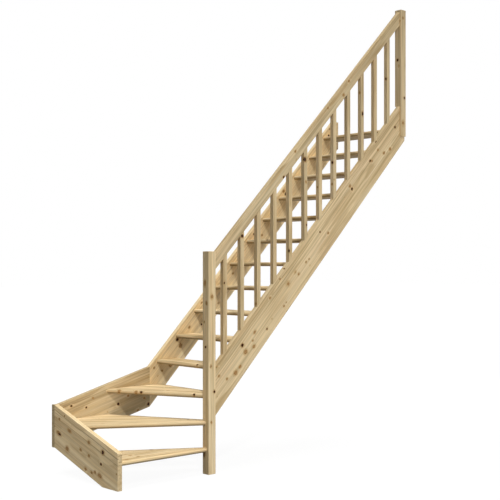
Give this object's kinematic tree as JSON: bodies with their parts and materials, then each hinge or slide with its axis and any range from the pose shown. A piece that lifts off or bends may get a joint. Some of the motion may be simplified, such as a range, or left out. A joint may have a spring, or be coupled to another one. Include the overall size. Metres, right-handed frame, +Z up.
{
  "type": "quarter-turn open-riser stair",
  "caption": "Steep open-riser softwood stair with a quarter turn of winders at the foot, treads housed in side stringers, and a square-baluster handrail on the open side.",
  "frame": {"origin": "centre of the newel post's foot, on the lower floor", "axes": "+X along the straight flight, the way it climbs; +Y from the open side to the wall; +Z up"},
  "size_m": [3.158, 0.869, 3.8846],
  "materials": {
    "stringer_wood": "planed softwood with a clear satin finish",
    "post_wood": "planed softwood with a clear satin finish",
    "tread_wood": "planed softwood with a clear satin finish",
    "baluster_wood": "planed softwood with a clear satin finish"
  },
  "bodies": {
    "root": {"first_stringer": "stringer_wood", "wall_stringer_lower": "stringer_wood", "wall_stringer_upper": "stringer_wood", "inner_stringer": "stringer_wood", "newel_post": "post_wood", "top_post": "post_wood", "handrail": "post_wood", "tread_01": "tread_wood", "tread_02": "tread_wood", "tread_03": "tread_wood", "tread_04": "tread_wood", "tread_05": "tread_wood", "tread_06": "tread_wood", "tread_07": "tread_wood", "tread_08": "tread_wood", "tread_09": "tread_wood", "tread_10": "tread_wood", "tread_11": "tread_wood", "tread_12": "tread_wood", "tread_13": "tread_wood", "tread_14": "tread_wood", "baluster_01": "baluster_wood", "baluster_02": "baluster_wood", "baluster_03": "baluster_wood", "baluster_04": "baluster_wood", "baluster_05": "baluster_wood", "baluster_06": "baluster_wood", "baluster_07": "baluster_wood", "baluster_08": "baluster_wood", "baluster_09": "baluster_wood", "baluster_10": "baluster_wood", "baluster_11": "baluster_wood", "baluster_12": "baluster_wood"}
  },
  "joints": []
}
